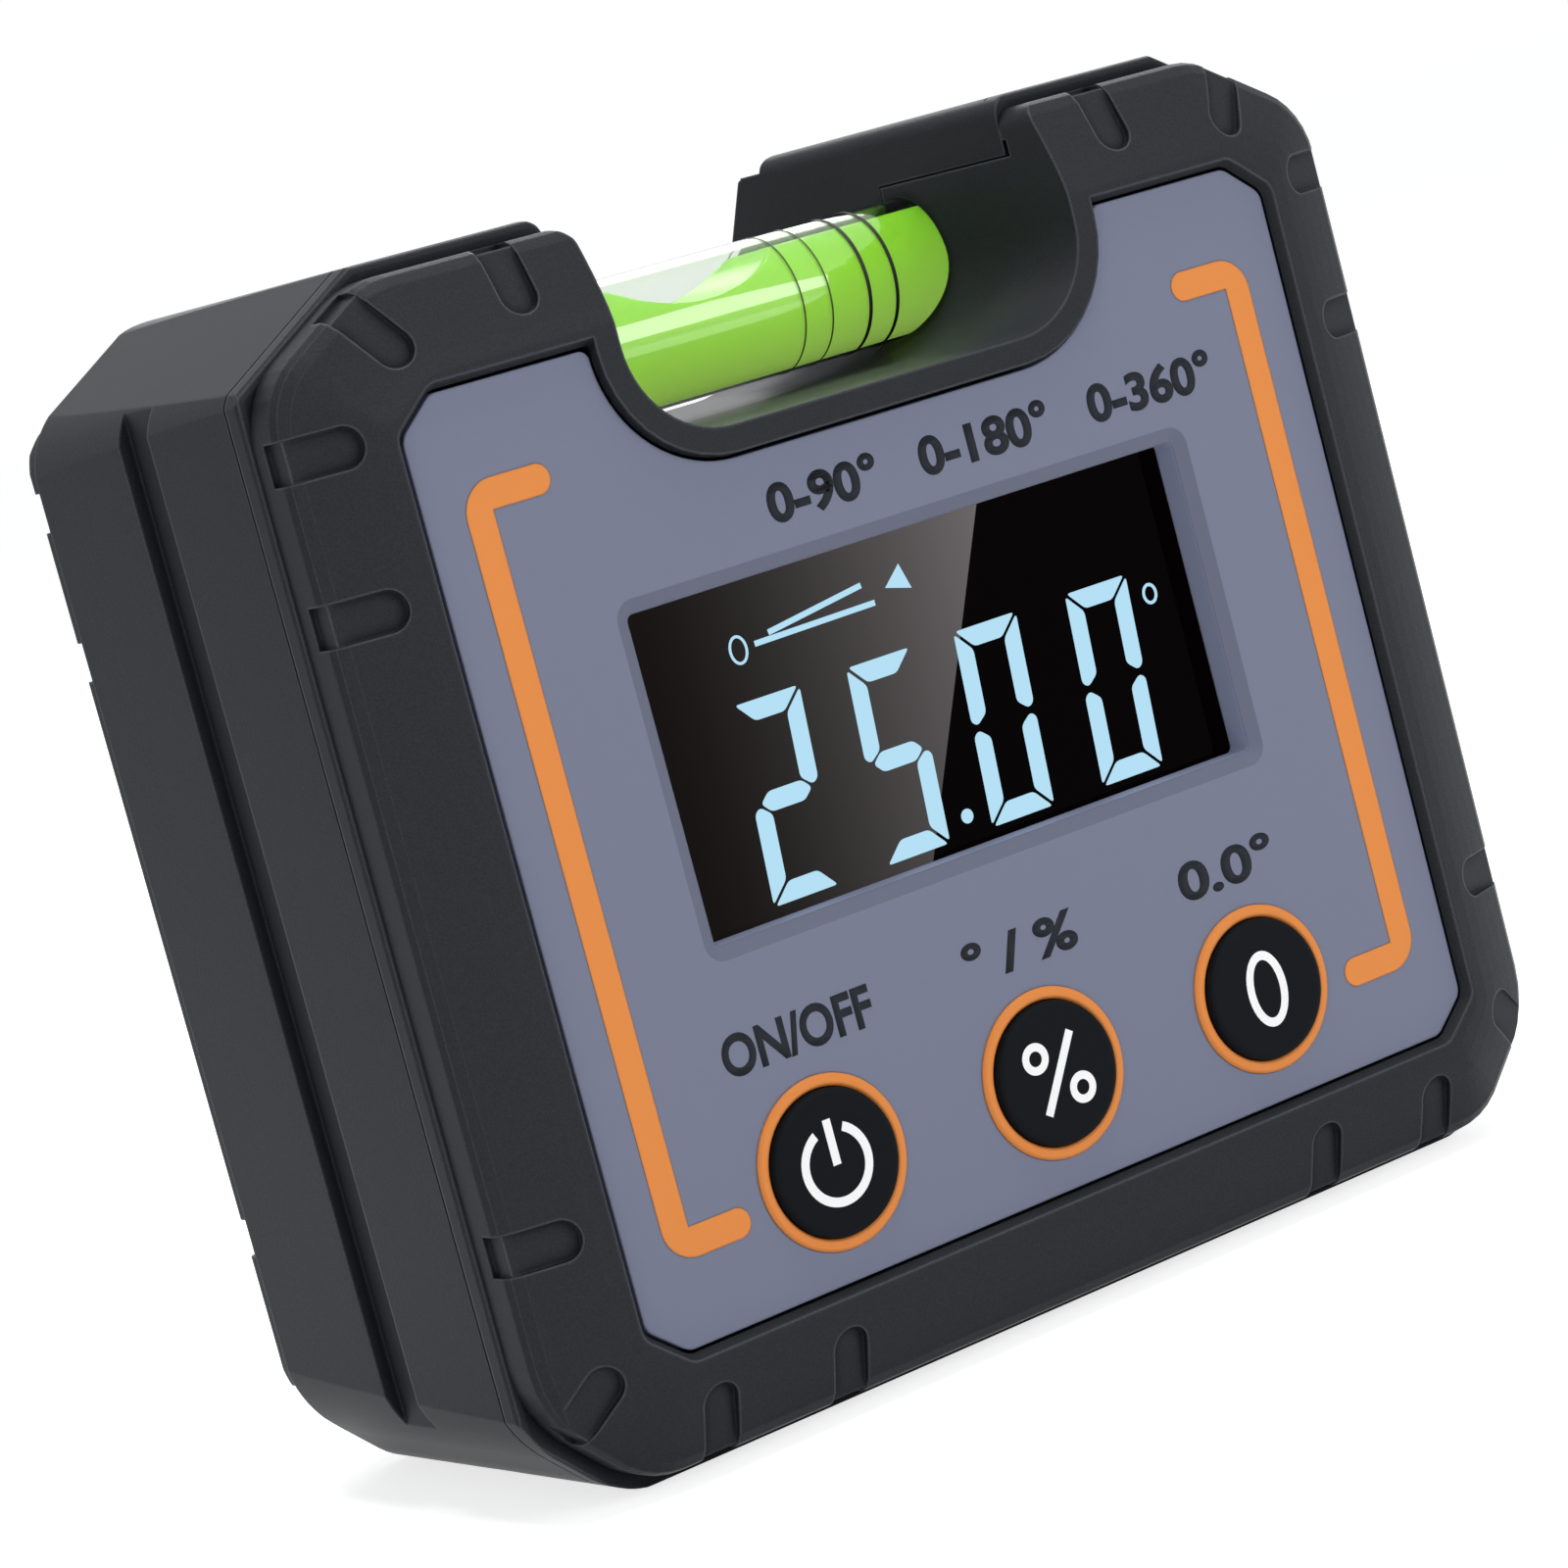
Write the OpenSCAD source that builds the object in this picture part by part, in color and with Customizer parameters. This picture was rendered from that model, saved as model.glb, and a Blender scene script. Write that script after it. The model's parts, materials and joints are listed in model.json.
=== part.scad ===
// Digital angle gauge: bubble vial in a top notch, display window, three buttons, magnetic base.
// The front faces -Y, the base stands on z = 0.

/* [Housing] */
// Width across the side walls
body_w = 74.4; // [60:0.1:90]
// Height from the base to the top edge
body_h = 67.9; // [55:0.1:80]
// Depth from the front land to the rear face
body_d = 34.6; // [28:0.1:45]
// Housing wall thickness
wall = 2.6; // [1.8:0.1:4]
// Step from the side walls in to the front and rear bands
band_step = 0.85; // [0.3:0.05:1.5]
// Sideways run of the upper corner chamfers
crown_run = 8; // [4:0.1:14]
// Drop of the upper corner chamfers
crown_drop = 4.8; // [2:0.1:10]
// Leg of the lower corner chamfers
foot_leg = 5.8; // [3:0.1:10]
// Rounding of the upper corners
crown_r = 5.8; // [2:0.1:8]
// Rounding where the side walls meet the lower chamfers
foot_side_r = 7.9; // [2:0.1:10]
// Rounding where the base meets the lower chamfers
foot_base_r = 6; // [2:0.1:8]
// Narrowing of the side walls from the rear band to the seam
draft = 0.6; // [0.2:0.05:1]
// Smallest rounding left on inset outlines
inner_r = 0.9; // [0.3:0.1:2]

/* [Rims] */
// Width of the sloping front rim
rim_w = 5.6; // [2:0.1:8]
// Fall of the front rim from land to bumper edge
rim_fall = 1.75; // [0.5:0.05:4]
// Rounding of the bumper edges
edge_r = 1; // [0.3:0.1:2]
// Depth of the front shell back to its seam
front_d = 4.8; // [3:0.1:8]
// Depth of the rear band and rear rim together
rear_d = 4.75; // [3:0.1:8]
// Width of the rear rim
rear_rim_w = 3.65; // [2:0.1:6]
// Fall of the rear rim
rear_rim_fall = 2.3; // [1:0.1:4]
// Width of the bead on the rear shell's front edge
bead_w = 1.45; // [0.8:0.05:3]
// Rounding of the bead
bead_r = 0.4; // [0.1:0.05:0.8]
// Width and depth of the crease behind the bead
crease = 0.16; // [0.1:0.02:0.6]

/* [Slots] */
// Width of the decorative slots
slot_w = 2.3; // [1.5:0.05:4]
// Depth of the decorative slots
slot_depth = 0.3; // [0.2:0.05:1]
// Length of the side slots, in from the band
slot_side = 4.1; // [2:0.1:6]
// Length of the base slots
slot_base = 4.3; // [2:0.1:6]
// Length of the top slots
slot_top = 4; // [2:0.1:6]
// Length of the slots on the upper corners
slot_crown = 4.4; // [2:0.1:6]
// Height of the lowest side slots
slot_low = 15.5; // [12:0.1:20]
// Distance of the middle side slots from the top
slot_mid = 17.8; // [14:0.1:28]
// Distance of the upper side slots from the top
slot_high = 9; // [7:0.1:12]
// Distance of the inner base slots from the side walls
slot_inner = 19.5; // [17:0.1:27]
// Distance of the outer base slots from the side walls
slot_outer = 10.65; // [8:0.05:15]
// Distance of the top slots from the notch
slot_beside = 4.86; // [3:0.02:8]

/* [Grooves] */
// Width of the grooves for pipes
groove_w = 3.55; // [2:0.05:8]
// Depth of the grooves
groove_d = 0.9; // [0.4:0.1:2]
// Depth of the grooves' place, from the middle of the housing
groove_y = -0.07; // [-4:0.01:4]

/* [Notch] */
// Half-width of the vial notch
notch_half = 15.84; // [12:0.02:20]
// Depth of the notch below the top
notch_d = 13.54; // [10:0.02:18]
// Rounding of the notch's lower corners
notch_r = 5.7; // [3:0.1:8]
// Rounding of the notch's upper edges
mouth_r = 1.2; // [0.5:0.1:2]
// Thickness of the notch walls
notch_wall = 2.6; // [1.6:0.1:4]
// Distance of the seam in the notch's end walls from the top
cradle_drop = 3.55; // [2:0.05:6]
// Depth of the front shell's vial cradle, from the middle of the housing
cradle_y = 0.4; // [-2:0.1:3]
// Gap between the cradle and the rear shell
cradle_play = 0.1; // [0.05:0.05:0.3]

/* [Vial] */
// Outer radius of the vial tube
vial_r = 4.1; // [3:0.05:5]
// Radius of the liquid in the vial
liquid_r = 3.45; // [2.5:0.05:4.5]
// Depth of the vial axis, from the middle of the housing
vial_y = -0.5; // [-3:0.1:3]
// Distance of the vial axis from the top
vial_drop = 8.4; // [6:0.1:11]
// Length of the vial held in each end wall
vial_grip = 1.8; // [0.5:0.1:2.4]
// Thickness of the vial's end plugs
vial_plug = 1; // [0.5:0.1:3]
// Radius of the bubble
bubble_r = 2.5; // [1.5:0.05:3.2]
// Length of the bubble
bubble_len = 10.8; // [6:0.1:16]
// Sideways place of the bubble
bubble_x = -1; // [-8:0.1:8]
// Distance of the inner bold marks from the middle
mark_bold_1 = 9.2; // [6:0.1:12]
// Distance of the outer bold marks from the middle
mark_bold_2 = 11.2; // [8:0.1:14]
// Distance of the inner fine marks from the middle
mark_fine_1 = 5.3; // [3:0.1:8]
// Distance of the outer fine marks from the middle
mark_fine_2 = 7.3; // [5:0.1:10]
// Width of the bold marks
bold_w = 0.42; // [0.2:0.02:1]
// Width of the fine marks
fine_w = 0.2; // [0.1:0.02:0.5]
// Thickness of the marks on the tube
mark_t = 0.04; // [0.02:0.01:0.2]

/* [Face panel] */
// Distance of the face panel from the side walls
panel_side = 7.2; // [6:0.1:10]
// Height of the panel's lower edge above the base
panel_z = 7.35; // [6:0.05:10]
// Distance of the panel's upper edge from the top
panel_drop = 7.51; // [6:0.01:10]
// Thickness of the face panel
panel_t = 2; // [1:0.1:3]
// Height of the front land over the panel
land_proud = 0.6; // [0.2:0.05:1.2]
// Width of the bevel from the land down to the panel
bevel_w = 0.36; // [0.2:0.02:1.5]
// Gap between panel and bezel
panel_gap = 0.2; // [0.05:0.05:0.4]
// Sideways run of the panel's corner chamfers
panel_cut_x = 2.3; // [1:0.1:4]
// Drop of the panel's corner chamfers
panel_cut_z = 1.9; // [1:0.1:4]
// Rounding of the panel corners
panel_r = 1.1; // [0.5:0.1:2]
// Width of the land between notch and panel
notch_land = 1.8; // [1:0.1:3]
// Rounding where the panel's notch meets its upper edge
panel_mouth_r = 0.6; // [0.3:0.05:1.5]
// Thickness of the bezel floor behind the panel
floor_t = 1.8; // [1:0.1:3]

/* [Display] */
// Distance of the window's lip from the sides of the panel
window_side = 9.78; // [6:0.02:14]
// Height of the lower edge of the window's lip
window_z = 26.6; // [20:0.05:30]
// Distance of the window's lip from the upper edge of the panel
window_head = 13.46; // [10:0.02:18]
// Rounding of the lip's corners
lip_r = 1.2; // [0.6:0.1:2]
// Width of the window's chamfered lip
lip_w = 0.85; // [0.2:0.05:1.5]
// Depth of the window's chamfered lip
lip_d = 0.35; // [0.1:0.05:1]
// Overlap of the lens behind the window
lens_over = 1.5; // [0.5:0.1:3]
// Thickness of the lens
lens_t = 0.8; // [0.4:0.1:1.5]
// Thickness of the display module
lcd_t = 2; // [1:0.1:3]
// Thickness of the backlight
light_t = 1.6; // [0.8:0.1:3]
// Inset of the backlight from the module
light_in = 1; // [0.5:0.1:3]

/* [Orange brackets] */
// Distance of the brackets from the sides of the panel
stripe_side = 2.5; // [1.5:0.1:5]
// Width of the brackets' stroke
stripe_w = 1.7; // [1:0.05:3]
// Distance of the brackets from the lower edge of the panel
stripe_foot = 4.65; // [2:0.05:8]
// Distance of the brackets from the upper edge of the panel
stripe_head = 5.04; // [3:0.02:8]
// Gap between the brackets' arms and the button rings
stripe_gap = 1.22; // [0.8:0.02:3]
// Share of the free width beside the rings that the arms take
arm_share = 0.486; // [0.3:0.002:0.6]
// Outer rounding of the brackets' corners
stripe_r = 2; // [1:0.1:3]
// Depth of the pockets for the brackets
inlay_d = 0.3; // [0.1:0.05:0.8]
// Height of the brackets over the panel
inlay_proud = 0.03; // [0:0.01:0.1]

/* [Buttons] */
// Sideways place of the middle button
button_x = -0.15; // [-1:0.05:1]
// Height of the button centres
button_z = 14.04; // [12:0.02:18]
// Outer radius of the orange rings
ring_r = 4.92; // [4:0.02:6]
// Height of the orange rings over the panel
ring_proud = 0.25; // [0.1:0.05:0.5]
// Radius of the button caps
cap_r = 4.15; // [3:0.01:5]
// Clearance between cap and ring
cap_play = 0.06; // [0.03:0.01:0.1]
// Height of the caps over the panel
cap_proud = 0.6; // [0.2:0.05:1.2]
// Radius of the flange that holds a cap in
flange_r = 4.42; // [4:0.02:5]
// Thickness of the flange
flange_t = 0.8; // [0.4:0.1:1.5]
// Radius of the stem behind a cap
stem_r = 1.5; // [0.8:0.1:3]
// Button travel
button_travel = 0.4; // [0.2:0.05:0.8]
// Rounding at the front edges of caps and rings
soft_edge = 0.15; // [0.05:0.01:0.4]
// Side of a switch body
switch_w = 6; // [4:0.1:8]
// Height of a switch body
switch_h = 1.4; // [0.5:0.1:3]

/* [Electronics] */
// Thickness of the circuit board
board_t = 1.6; // [0.8:0.1:2]
// Distance of the board's edge from the housing's outer wall
board_in = 4.2; // [3:0.1:8]
// Distance of the board's upper edge from the notch floor
board_drop = 3.6; // [3:0.1:6]
// Side of the controller chip
chip_w = 9; // [5:0.1:14]
// Side of the tilt sensor
sensor_w = 5; // [3:0.1:8]
// Thickness of the chips
chip_t = 1.2; // [0.6:0.1:3]

/* [Screws and posts] */
// Distance of the upper posts from the side walls
post_side1 = 11.7; // [10:0.1:14]
// Distance of the upper posts from the top
post_drop = 10.3; // [9:0.1:13]
// Distance of the lower posts from the side walls
post_side2 = 8.2; // [7:0.1:12]
// Height of the lower posts
post_z2 = 7.4; // [6:0.1:8]
// Radius of the posts
post_r = 3; // [2:0.1:4]
// Radius of the screw shanks
screw_r = 1.25; // [0.8:0.05:2]
// Clearance round the screw shanks
screw_play = 0.15; // [0.05:0.05:0.4]
// Radius of the screw heads
head_r = 2.2; // [1.6:0.1:3]
// Thickness of the screw heads
head_t = 1.3; // [0.8:0.1:2]
// Depth of the screw heads below the rear face
head_sunk = 0.4; // [0:0.1:1]

/* [Batteries] */
// Radius of a cell
cell_r = 5.2; // [4:0.05:7]
// Length of a cell without its button
cell_len = 43.5; // [30:0.1:60]
// Length of a cell's button
cell_tip = 0.9; // [0.5:0.1:2]
// Radius of a cell's button
tip_r = 1.9; // [1:0.1:3]
// Distance between the cells' axes
cell_pitch = 11; // [10.6:0.1:14]
// Height of the lower cell's axis
cell_z = 17.2; // [14:0.1:22]
// Clearance between the cells and the door
cell_free = 0.4; // [0.2:0.1:1]
// Room for contacts and springs beside the cells' length
well_room = 5.5; // [3:0.1:10]
// Free height left over the cells in the well
well_free = 0.6; // [0.2:0.1:1.5]
// Wall of the battery well
well_wall = 1.4; // [1:0.1:2.5]
// Thickness of the contact plates
contact_t = 0.4; // [0.2:0.05:0.8]
// Radius of the contact springs
spring_r = 2.6; // [1.5:0.1:4]
// Wire radius of the contact springs
wire_r = 0.35; // [0.2:0.05:0.6]
// Thickness of the battery door
door_t = 2; // [1.4:0.1:2.4]
// Width of the ledge under the door
door_ledge = 1.6; // [1:0.1:3]
// Clearance round the door
door_play = 0.15; // [0.05:0.05:0.3]
// Clearance under the door, for its swing
door_swing = 0.4; // [0.3:0.05:0.8]
// Radius of the door's hinge pins
pin_r = 0.6; // [0.4:0.05:0.8]
// Length of the door's hinge pins
pin_len = 1.2; // [0.8:0.1:3]
// Clearance round the hinge pins
pin_play = 0.05; // [0.03:0.01:0.1]
// Opening angle of the battery door
door_open = 100; // [60:5:120]
// Radius of the finger scoop over the door
scoop_r = 6; // [4:0.1:9]
// Width of the grip ribs on the door
rib_w = 0.8; // [0.4:0.1:1.5]

/* [Base magnets] */
// Radius of the base magnets
magnet_r = 4; // [3:0.1:4.6]
// Thickness of the base magnets
magnet_t = 1.9; // [1:0.1:2.2]
// Clearance round the magnets
magnet_play = 0.05; // [0.02:0.01:0.2]
// Distance of the magnets from the side walls
magnet_side = 15.2; // [11:0.1:20]
// Distance of the magnets' edges from the seam and from the rear band
magnet_edge = 2.05; // [1:0.05:3]

/* [Output] */
// Node to draw

/* [Hidden] */
$fn = 64;
hull_fn = 36;
// Steps and exponent of the front rim's curve
rim_steps = 5;
rim_curve = 1.3;
// Places of the slots on the corner chamfers, as shares of the chamfers' length
crown_slot_share = 0.77;
foot_slot_share = 0.8;
// Thickness of the slices that carry the rounded outlines
slice = 0.01;
// Reach of the cutting shapes past the faces they cut
over = 2;
half_w = body_w / 2;
y_front = -body_d / 2;
y_back = body_d / 2;
y_panel = y_front + land_proud;
y_floor = y_panel + panel_t;
y_inner = y_floor + floor_t;
y_seam = y_front + front_d;
y_band = y_back - rear_d;
y_lens = y_floor + lens_t;
y_lcd = y_lens + lcd_t;
y_board = y_lcd + light_t;
y_board_back = y_board + board_t;
y_rear_wall = y_back - wall;
y_door = y_back - door_t;
tongue_t = wall / 2;
notch_floor = body_h - notch_d;
notch_c = [notch_half - notch_r, notch_floor + notch_r];
cradle_h = body_h - cradle_drop;
vial_half = notch_half + vial_grip;
vial_z = body_h - vial_drop;
panel_w = body_w - 2 * panel_side;
panel_top = body_h - panel_drop;
window_w = panel_w - 2 * window_side;
window_h = panel_top - window_head - window_z;
stripe_x = panel_w / 2 - stripe_side;
stripe_z = panel_z + stripe_foot;
stripe_h = panel_top - stripe_head - stripe_z;
row_free = stripe_x - 3 * ring_r - stripe_gap;
stripe_arm = row_free * arm_share;
button_pitch = 2 * ring_r + row_free - stripe_arm;
button_places = [for (i = [-1, 0, 1]) button_x + i * button_pitch];
board_top = notch_floor - board_drop;
post_x1 = half_w - post_side1;
post_z1 = body_h - post_drop;
post_x2 = half_w - post_side2;
cell_y = y_door - cell_free - cell_r;
well_y = cell_y - cell_r;
well_len = cell_len + well_room;
well_z0 = cell_z - cell_r - well_free / 2;
well_z1 = cell_z + cell_pitch + cell_r + well_free / 2;
door_x = well_len / 2 + door_ledge;
door_z0 = well_z0 - door_ledge;
door_z1 = well_z1 + door_ledge;
hinge_z = door_z0 + door_t / 2;
hinge_y = y_back - door_t / 2;
lens_w = window_w + 2 * lens_over;
lens_h = window_h + 2 * lens_over;
window_mid = window_z + window_h / 2;

// Radii of the wall outline's corners, in the order of wall_points
corner_radii = [foot_base_r, foot_side_r, crown_r, crown_r, crown_r, crown_r, foot_side_r, foot_base_r];
// Edges of the wall outline, of which the side walls and upper chamfers have draft
edges = [0 : 7];
draft_edges = [1, 2, 4, 5];

// Wall outline seen from the front, anticlockwise in x and z
wall_points = [[half_w - foot_leg, 0], [half_w, foot_leg],
               [half_w, body_h - crown_drop], [half_w - crown_run, body_h],
               [crown_run - half_w, body_h], [-half_w, body_h - crown_drop],
               [-half_w, foot_leg], [foot_leg - half_w, 0]];

// Panel outline, anticlockwise in x and z
panel_points = [[panel_w / 2 - panel_cut_x, panel_z], [panel_w / 2, panel_z + panel_cut_z],
                [panel_w / 2, panel_top - panel_cut_z], [panel_w / 2 - panel_cut_x, panel_top],
                [panel_cut_x - panel_w / 2, panel_top], [-panel_w / 2, panel_top - panel_cut_z],
                [-panel_w / 2, panel_z + panel_cut_z], [panel_cut_x - panel_w / 2, panel_z]];

function unit(v) = v / norm(v);
function left_of(v) = [-v[1], v[0]];
function turn(pts, i) = pts[(i + len(pts)) % len(pts)];

// Value for corner or edge i, from one value for all or from a list
function value_at(d, i) = is_list(d) ? turn(d, i) : d;

// Convex outline moved inward by d, which may be a list with one value an edge
function inset(pts, d) = [for (i = [0 : len(pts) - 1])
    let (here = turn(pts, i), u = unit(here - turn(pts, i - 1)), v = unit(turn(pts, i + 1) - here),
         a = here + left_of(u) * value_at(d, i - 1), b = here + left_of(v) * value_at(d, i))
    a + u * cross(b - a, v) / cross(u, v)];

// Insets of the wall at the seam, moved inward by d
function at_seam(d) = [for (i = edges) d + (search(i, draft_edges) == [] ? 0 : draft)];

function to_last(pts, i) = unit(turn(pts, i - 1) - turn(pts, i));
function to_next(pts, i) = unit(turn(pts, i + 1) - turn(pts, i));
function half_angle(pts, i) = acos(to_last(pts, i) * to_next(pts, i)) / 2;

// Circles that round the corners of a convex outline; radius may be a list
module corner_circles(pts, radius) {
    for (i = [0 : len(pts) - 1]) {
        r = value_at(radius, i);
        inward = unit(to_last(pts, i) + to_next(pts, i));
        translate(pts[i] + inward * r / sin(half_angle(pts, i)))
            circle(r);
    }
}

// Convex outline with every corner rounded to radius, which may be a list
module rounded(pts, radius) {
    polygon([for (i = [0 : len(pts) - 1]) for (side = [to_last(pts, i), to_next(pts, i)])
        pts[i] + side * value_at(radius, i) / tan(half_angle(pts, i))]);
    corner_circles(pts, radius);
}

function radii_inside(u) = [for (r = corner_radii) max(r - u, inner_r)];

// Wall outline moved inward by u
module outline(u) {
    rounded(inset(wall_points, u), radii_inside(u));
}

// Shape drawn in x and z, run from depth y0 to depth y1
module deep(y0, y1) {
    translate([0, y1, 0])
        rotate([90, 0, 0])
            linear_extrude(y1 - y0)
                children();
}

// Cylinder along the depth
module rod(x, z, r, y0, y1) {
    translate([x, y1, z])
        rotate([90, 0, 0])
            cylinder(r = r, h = y1 - y0);
}

// Cylinder along the width
module bar(x0, x1, y, z, r) {
    translate([x0, y, z])
        rotate([0, 90, 0])
            cylinder(r = r, h = x1 - x0);
}

module block(x0, x1, y0, y1, z0, z1) {
    translate([x0, y0, z0])
        cube([x1 - x0, y1 - y0, z1 - z0]);
}

// Corners of the wall outline moved inward by u, for a hull
module station(y, u) {
    deep(y, y + slice)
        corner_circles(inset(wall_points, u), radii_inside(u), $fn = hull_fn);
}

// Box with rounded corners seen from the front
module soft_rect(x0, x1, z0, z1, r) {
    translate([x0 + r, z0])
        square([x1 - x0 - 2 * r, z1 - z0]);
    translate([x0, z0 + r])
        square([x1 - x0, z1 - z0 - 2 * r]);
    for (x = [x0 + r, x1 - r]) for (z = [z0 + r, z1 - r])
        translate([x, z])
            circle(r);
}

// Front shell without its recesses; the rim falls away in a curve from the land to the bumper
module front_form() {
    hull() {
        for (i = [0 : rim_steps])
            station(y_front + rim_fall * pow(i / rim_steps, rim_curve),
                    band_step + rim_w + (edge_r * 3 / 4 - rim_w) * i / rim_steps);
        station(y_front + rim_fall + edge_r / 2, band_step + edge_r / 5);
        station(y_front + rim_fall + edge_r, band_step);
        station(y_seam - slice, band_step);
    }
}

// Profile run along edges of the outline inset by u: +X points out, +Y to the rear
module edge_cuts(u, y, which, profile) {
    corners = inset(wall_points, u);
    for (i = which) {
        middle = (turn(corners, i) + turn(corners, i + 1)) / 2;
        outward = -left_of(to_next(corners, i));
        translate([middle[0], y, middle[1]])
            rotate([0, -atan2(outward[1], outward[0]), 0])
                translate([0, 0, -half_w])
                    linear_extrude(body_w)
                        polygon(profile);
    }
}

module rear_form() {
    difference() {
        deep(y_seam, y_band)
            outline(0);
        edge_cuts(0, y_seam, draft_edges, [[-draft, -slice], [-bead_r / 4, y_band - y_seam],
                                           [over, y_band - y_seam], [over, -over],
                                           [-draft, -over]]);
        edge_cuts(at_seam(0), y_seam, edges, [[-bead_r, 0], [-bead_r / 4, bead_r / 4], [0, bead_r],
                                              [over, bead_r], [over, -over], [-bead_r, -over]]);
        edge_cuts(0, y_band, edges, [[-bead_r, 0], [-bead_r / 4, -bead_r / 4], [0, -bead_r],
                                     [over, -bead_r], [over, over], [-bead_r, over]]);
    }
    difference() {
        deep(y_band - over, y_back)
            outline(band_step);
        edge_cuts(band_step, y_back, edges, [[-rear_rim_w, 0], [-edge_r / 5, -rear_rim_fall],
                                             [0, -rear_rim_fall - edge_r / 2],
                                             [over, -rear_rim_fall - edge_r / 2],
                                             [over, over], [-rear_rim_w, over]]);
    }
}

// One decorative slot; +X points out of the housing, the rim falls away along it
module slot_cut(run, fall, length) {
    tilt = atan(fall / run);
    bumper = edge_r * 3 / 4;
    end_x = slot_w / 2 - (length - bumper) / cos(tilt);
    translate([-bumper, fall, 0])
        rotate([0, 0, tilt])
            translate([0, slot_depth, 0])
                rotate([90, 0, 0])
                    linear_extrude(slot_depth + over) {
                        translate([end_x, 0])
                            circle(slot_w / 2);
                        translate([end_x, -slot_w / 2])
                            square([over - end_x, slot_w]);
                    }
    translate([-slot_depth, fall, -slot_w / 2])
        cube([over, over, slot_w]);
}

module slot_at(place, angle, run, fall, length) {
    translate([place[0], 0, place[1]])
        rotate([0, -angle, 0])
            slot_cut(run, fall, length);
}

module slot_ring(run, fall) {
    band = inset(wall_points, band_step);
    crown_angle = atan(crown_run / crown_drop);
    for (flip = [0, 1])
        mirror([flip, 0, 0]) {
            for (z = [slot_low, body_h - slot_mid, body_h - slot_high])
                slot_at([half_w - band_step, z], 0, run, fall, slot_side);
            for (side = [slot_inner, slot_outer])
                slot_at([half_w - side, band_step], -90, run, fall, slot_base);
            slot_at([notch_half + slot_beside, body_h - band_step], 90, run, fall, slot_top);
            slot_at(band[2] + (band[3] - band[2]) * crown_slot_share, crown_angle, run, fall, slot_crown);
            slot_at(band[0] + (band[1] - band[0]) * foot_slot_share, -45, run, fall, slot_side);
        }
}

module front_slots() {
    translate([0, y_front, 0])
        slot_ring(rim_w - edge_r * 3 / 4, rim_fall);
}

module rear_slots() {
    translate([0, y_back, 0])
        mirror([0, 1, 0])
            slot_ring(rear_rim_w, rear_rim_fall);
}

// Notch contour grown by g, open at the top
module notch_shape(g, top) {
    for (s = [-1, 1])
        translate([s * notch_c[0], notch_c[1]])
            circle(notch_r + g);
    translate([-notch_c[0], notch_floor - g])
        square([2 * notch_c[0], top - notch_floor + g]);
    translate([-notch_half - g, notch_c[1]])
        square([2 * (notch_half + g), top - notch_c[1]]);
}

// Rounded upper edges of a notch grown by g, below the height top
module notch_mouth(g, r, top) {
    for (s = [-1, 1])
        difference() {
            translate([s * (notch_half + g + r / 2) - r / 2, top - r])
                square([r, r + over]);
            translate([s * (notch_half + g + r), top - r])
                circle(r);
        }
}

module notch_cut(y0, y1, top) {
    deep(y0, y1) {
        notch_shape(0, body_h + over);
        notch_mouth(0, mouth_r, top);
    }
}

// Room of the front shell's cradle inside the housing, grown by g
module cradle_room(g) {
    deep(y_inner - slice, cradle_y + g)
        intersection() {
            notch_shape(notch_wall + g, cradle_h + g);
            translate([-half_w, 0])
                square([body_w, cradle_h + g]);
        }
}

module vial_bore() {
    bar(-vial_half, vial_half, vial_y, vial_z, vial_r);
}

// Corners of the panel outline grown by g, for a hull
module panel_edge(y, g, r) {
    deep(y, y + slice)
        corner_circles(inset(panel_points, -g), r, $fn = hull_fn);
}

// Corners of the notch contour grown by g, for a hull
module tongue_edge(y, g) {
    deep(y, y + slice) {
        for (s = [-1, 1])
            translate([s * notch_c[0], notch_c[1]])
                circle(notch_r + g, $fn = hull_fn);
        translate([-notch_half - g, body_h - notch_land])
            square([2 * (notch_half + g), notch_land]);
    }
}

// Bevelled recess for the panel, which leaves the land round the notch standing
module panel_recess() {
    difference() {
        hull() {
            panel_edge(y_front - slice, bevel_w + panel_gap, panel_r);
            panel_edge(y_panel - slice, panel_gap, panel_r);
        }
        hull() {
            tongue_edge(y_front - over, notch_land - bevel_w - panel_gap);
            tongue_edge(y_front, notch_land - bevel_w - panel_gap);
            tongue_edge(y_panel, notch_land - panel_gap);
        }
    }
    deep(y_panel - slice, y_floor)
        difference() {
            rounded(inset(panel_points, -panel_gap), panel_r);
            notch_shape(notch_land - panel_gap, body_h);
        }
}

module front_posts(r, y0) {
    for (s = [-1, 1]) {
        rod(s * post_x1, post_z1, r, y0, y_board_back);
        rod(s * post_x2, post_z2, r, y0, y_board);
    }
}

module front_bezel() {
    color([0.17, 0.175, 0.185])
        difference() {
            union() {
                difference() {
                    front_form();
                    deep(y_inner, y_seam + over)
                        outline(wall);
                }
                deep(y_inner, y_seam + bead_w)
                    difference() {
                        outline(wall + panel_gap);
                        outline(wall + tongue_t);
                        translate([-notch_half - notch_wall - over, notch_floor])
                            square([2 * (notch_half + notch_wall + over), body_h]);
                    }
                intersection() {
                    cradle_room(0);
                    deep(y_front, y_back)
                        outline(band_step);
                }
                front_posts(post_r, y_inner - slice);
            }
            panel_recess();
            front_slots();
            notch_cut(y_front - over, y_back, body_h - band_step);
            vial_bore();
            front_posts(screw_r, y_floor + floor_t / 2);
            deep(y_floor - slice, y_inner + over)
                translate([-lens_w / 2, window_z - lens_over])
                    square([lens_w, lens_h]);
            for (x = button_places)
                rod(x, button_z, flange_r + screw_play, y_floor - slice, y_inner + over);
        }
}

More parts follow.
